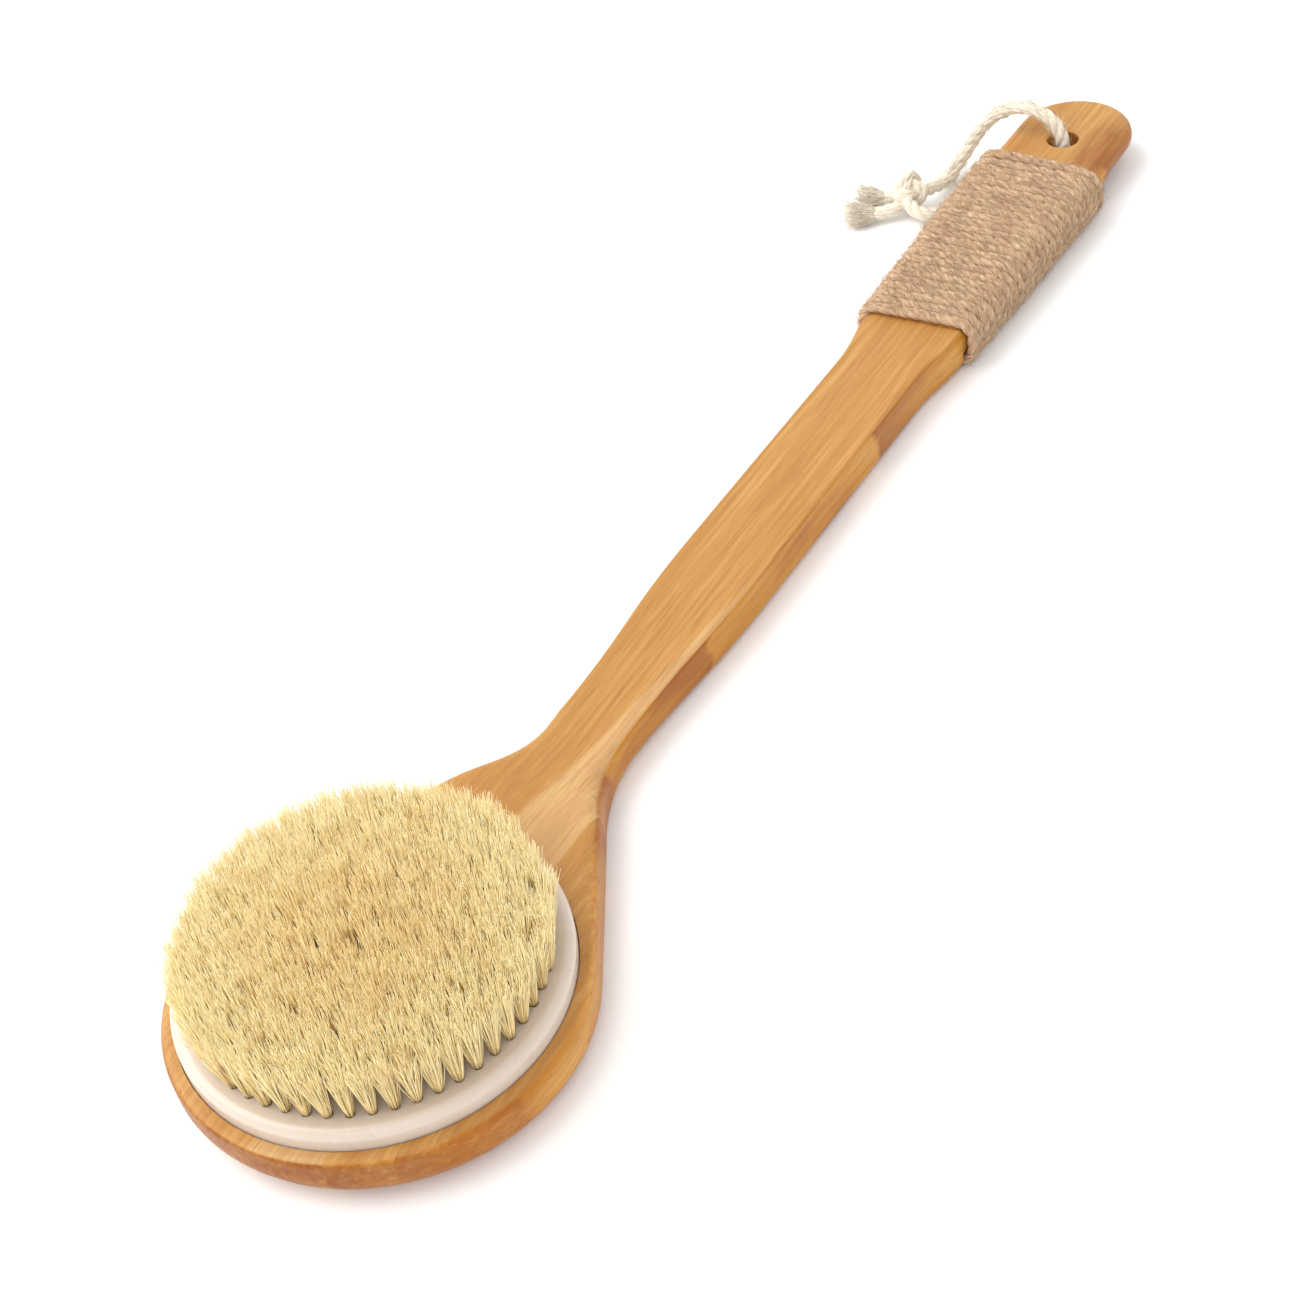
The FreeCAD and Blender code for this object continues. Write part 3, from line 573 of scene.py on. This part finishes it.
def make_twine(material):
    """The twine, laid from three plies, and the loose fibres that stand out of it."""
    path, outward, turns, pitch = winding_line()
    path[:, 0] += smooth_noise(len(path), 34, 0.11)
    path += outward * smooth_noise(len(path), 21, 0.07)[:, None]
    angle = FULL_TURN * LAYS_PER_TURN * turns + smooth_noise(len(path), 26, 0.9)
    offset = 0.215 * pitch
    plies, ways = twist(path[None], outward[None], TWINE_PLIES, offset, angle[None], 0.75)
    lumps = np.stack([smooth_noise(len(path), 5, 0.06) for ply in range(TWINE_PLIES)])
    radii = 0.285 * pitch * (1 + lumps + rng.normal(0, 0.03, plies.shape[:2]))
    built = sweep(plies, ways, radii, 10)
    piece = add_piece("twine_winding", built, material, "jute_twine", "grip_twine")
    fuzz = add_piece("twine_fuzz", fluff(path, outward, 1.3, 7000), material, "jute_twine")
    return piece, fuzz


def fluff(path, outward, reach, hairs):
    """Loose fibre ends along a strand: they lie along it, and lift a little off its outside."""
    at = rng.integers(20, len(path) - 20, hairs)
    out = outward[at]
    ahead = headings(path)[at] * rng.choice([-1, 1], hairs)[:, None]
    across = np.cross(out, ahead)
    root = path[at] + out * 0.85 * reach + across * reach * rng.uniform(-1, 1, hairs)[:, None]
    long = rng.uniform(1.2, 4.2, hairs)[:, None]
    lift = rng.uniform(0.05, 0.3, hairs)[:, None]
    drift = rng.normal(0, 0.35, hairs)[:, None]
    paths = []
    for part in (0.0, 0.35, 0.7, 1.0):
        swing = ahead * part + across * drift * part**1.5 + out * lift * math.sin(2.2 * part)
        paths.append(root + long * swing)
    paths = np.stack(paths, axis=1)
    paths[..., 2] = np.maximum(paths[..., 2], 0.25)
    radii = 0.05 * np.ones((hairs, 1)) * np.array([1.0, 0.9, 0.7, 0.4])
    sideways = np.repeat(out[:, None] + 0.3 * across[:, None], 4, axis=1)
    return sweep(paths, sideways, radii, 3)


# --- Cotton loop -----------------------------------------------------------------------------


def rope(path, diameter, lay):
    """A cotton rope along a path: strands laid together, each of finer yarns."""
    step = 0.5
    path = spaced(path, step)
    ways = carried(path)
    along = np.arange(len(path)) * step
    strand_turn = FULL_TURN * along / lay
    strands, ways = twist(path[None], ways[None], CORD_STRANDS, 0.2 * diameter, strand_turn[None])
    yarn_turn = -1.6 * np.repeat(strand_turn[None], CORD_STRANDS, axis=0)
    yarns, ways = twist(strands, ways, CORD_YARNS, 0.14 * diameter, yarn_turn)
    radii = 0.15 * diameter * rng.uniform(0.93, 1.07, yarns.shape[:2])
    return sweep(yarns, ways, radii, 6)


def cord_fluff(path, diameter):
    """Loose fibre ends all round a cord."""
    path = spaced(path, 0.5)
    ahead = headings(path)
    outward = rng.normal(0, 1, path.shape)
    outward = unit(outward - (outward * ahead).sum(-1, keepdims=True) * ahead)
    return fluff(path, outward, 0.42 * diameter, 5 * len(path))


def knot_path(centre, size, axis, spin):
    """An overhand knot drawn tight: a trefoil line round the centre."""
    turn = np.linspace(0, FULL_TURN, 121)
    wide = np.sin(turn) + 2 * np.sin(2 * turn)
    tall = np.cos(turn) - 2 * np.cos(2 * turn)
    deep = -1.25 * np.sin(3 * turn)
    frame_turn = Vector(axis).to_track_quat("Z", "Y").to_matrix() @ Matrix.Rotation(spin, 3, "Z")
    local = np.stack([wide, tall, deep], axis=-1) * size
    return local @ np.array(frame_turn).T + np.array(centre)


def fray(start, towards, length, root_radius, end_radius, fibres):
    """Loose cotton fibres that fan out from the end of a cord, in wavering locks."""
    stations = 7
    ahead = unit(np.array(towards, float))
    first = unit(np.cross(ahead, [0.1, 0.2, 1.0]))
    second = np.cross(ahead, first)
    share = np.sqrt(rng.uniform(0, 1, (fibres, 1)))
    spin = rng.uniform(0, FULL_TURN, (fibres, 1))
    spread = share * (np.cos(spin) * first + np.sin(spin) * second)
    curl = rng.normal(0, 0.5, (fibres, 3))
    long = length * rng.uniform(0.6, 1.08, (fibres, 1))
    paths = []
    for part in np.linspace(0, 1, stations):
        radius = root_radius + (end_radius - root_radius) * part**0.8
        wave = curl * math.sin(math.pi * part) + 0.4 * curl[:, ::-1] * math.sin(5 * part)
        paths.append(np.array(start) + ahead * long * part + spread * radius + wave * part)
    paths = np.stack(paths, axis=1)
    paths[..., 2] = np.maximum(paths[..., 2], 0.3)
    sideways = np.repeat(rng.normal(0, 1, (fibres, 1, 3)), stations, axis=1)
    taper = np.linspace(1.0, 0.4, stations)
    radii = 0.15 * rng.uniform(0.6, 1.3, (fibres, 1)) * taper
    return sweep(paths, sideways, radii, 4)


def make_tail(name, route, material, stands_for):
    """A short end of cord beyond the knot."""
    line = spline_points(name, route)
    built = rope(line, CORD_DIAMETER, CORD_LAY)
    return add_piece(name, built, material, "cotton_cord", stands_for), line


def make_fray(name, line, length, fibres, material, stands_for):
    heading = line[-1] - line[-3]
    start = line[-1] - 0.8 * unit(heading)
    built = fray(start, heading, length + 0.8, 1.5, 4.4, fibres)
    return add_piece(name, built, material, "cotton_cord", stands_for)


def make_cord(material):
    """The hanging loop, its knot and its two frayed tails."""
    line = spline_points("hang_loop_line", CORD_ROUTE)
    built = rope(line, CORD_DIAMETER, CORD_LAY)
    loop = add_piece("hang_loop", built, material, "cotton_cord", "hang_cord")
    low, high = (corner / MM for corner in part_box("cord_knot"))
    centre = (low + high) / 2
    tight = knot_path(centre, 1.3, (-0.5, -0.55, 0.67), 0.6)
    knot = add_piece(
        "loop_knot", rope(tight, 4.8, CORD_LAY), material, "cotton_cord", "cord_knot"
    )
    fluff_piece = add_piece("loop_fluff", cord_fluff(line, CORD_DIAMETER), material, "cotton_cord")
    lower, lower_line = make_tail("tail_lower", TAIL_LOWER_ROUTE, material, "cord_tail_lower")
    upper, upper_line = make_tail("tail_upper", TAIL_UPPER_ROUTE, material, "cord_tail_upper")
    ends = [
        make_fray("fray_lower", lower_line, FRAY_LENGTH, 460, material, "frayed_end_lower"),
        make_fray("fray_upper", upper_line, FRAY_LENGTH, 460, material, "frayed_end_upper"),
    ]


# --- Finishes of the CAD nodes ---------------------------------------------------------------


def dress(node, material):
    """Gives a CAD node its finish."""
    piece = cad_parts[node]
    piece.data.materials.clear()
    piece.data.materials.append(material)


def dress_wood():
    """Each stave is its own strip of bamboo, with its own tone and its own node marks."""
    golden, tan, honey = tone(189, 138, 71), tone(187, 136, 70), tone(182, 130, 64)
    right_centre_marks = [(71, 54, 0.9), (118, 84, 0.8), (207, 250, 0.9), (347, 420, 1.0)]
    amber, umber = tone(202, 138, 40), tone(190, 120, 28)
    staves = [
        ("stave_right_outer", honey, umber, [(-12, -30, 0.5)]),
        ("stave_right_middle", golden, amber, [(34, 12, 0.6)]),
        ("stave_right_centre", golden, amber, right_centre_marks),
        ("stave_left_centre", tan, amber, [(160, 190, 0.6)]),
        ("stave_left_middle", golden, umber, [(5, 20, 0.5)]),
        ("stave_left_outer", tan, umber, [(18, 0, 0.5)]),
    ]
    for number, (name, face, side, marks) in enumerate(staves):
        wedge = name == "stave_right_centre"
        dress(name, bamboo(name, face, side, marks, 0.37 * number, wedge))


# --- Studio ----------------------------------------------------------------------------------


def make_floor():
    bpy.ops.mesh.primitive_plane_add(size=12.0, location=(0.17, 0.0, -0.0003))
    floor = bpy.context.object
    floor.name = "floor"
    floor.data.materials.append(floor_finish())


def make_lamp(name, place, aim, size, power):
    lamp = bpy.data.lights.new(name, "AREA")
    lamp.shape = "DISK"
    lamp.size = size
    lamp.energy = power
    lit = bpy.data.objects.new(name, lamp)
    lit.location = place
    lit.rotation_euler = (Vector(aim) - Vector(place)).to_track_quat("-Z", "Y").to_euler()
    bpy.context.scene.collection.objects.link(lit)


def make_light():
    """A bright even room, a large soft lamp from behind and to the left, and a little fill."""
    world = bpy.data.worlds.new("room")
    world.use_nodes = True
    room = world.node_tree.nodes["Background"]
    room.inputs["Color"].default_value = (1.0, 1.0, 1.0, 1.0)
    room.inputs["Strength"].default_value = 1.0
    bpy.context.scene.world = world
    make_lamp("key", (-0.2, 1.0, 1.3), (0.15, 0.0, 0.0), 2.0, 26.0)
    make_lamp("fill", (-0.9, -0.5, 1.0), (0.15, 0.0, 0.0), 1.0, 3.0)
    bpy.context.scene.view_settings.view_transform = "Standard"


def make_camera():
    """The camera, from its azimuth, elevation, distance and roll about what it looks at."""
    azimuth, elevation = math.radians(CAMERA_AZIMUTH), math.radians(CAMERA_ELEVATION)
    back = Vector((
        math.sin(azimuth) * math.cos(elevation),
        -math.cos(azimuth) * math.cos(elevation),
        math.sin(elevation),
    ))
    data = bpy.data.cameras.new("camera")
    data.lens = CAMERA_LENS
    data.sensor_width = CAMERA_SENSOR
    data.clip_start = 0.01
    camera = bpy.data.objects.new("camera", data)
    aim = back.to_track_quat("Z", "Y").to_matrix()
    turned = aim @ Matrix.Rotation(math.radians(CAMERA_ROLL), 3, "Z")
    place = (Vector(CAMERA_TARGET) + back * CAMERA_DISTANCE) * MM
    camera.matrix_world = Matrix.Translation(place) @ turned.to_4x4()
    bpy.context.scene.collection.objects.link(camera)
    bpy.context.scene.camera = camera


make_camera()
cotton = fibre_finish(
    "cotton", tone(255, 248, 232), tone(244, 230, 206), tone(232, 214, 188), 500.0, 0.3
)
make_cord(cotton)
jute = fibre_finish("jute", tone(246, 212, 172), tone(158, 118, 82), tone(186, 140, 110), 420.0, 0.5)
make_twine(jute)
make_bristles()
dress_wood()
dress("bristle_plate", plate_plastic())
dress("plate_adhesive", hot_glue())
dress("tuft_anchors", anchor_metal())
make_floor()
make_light()
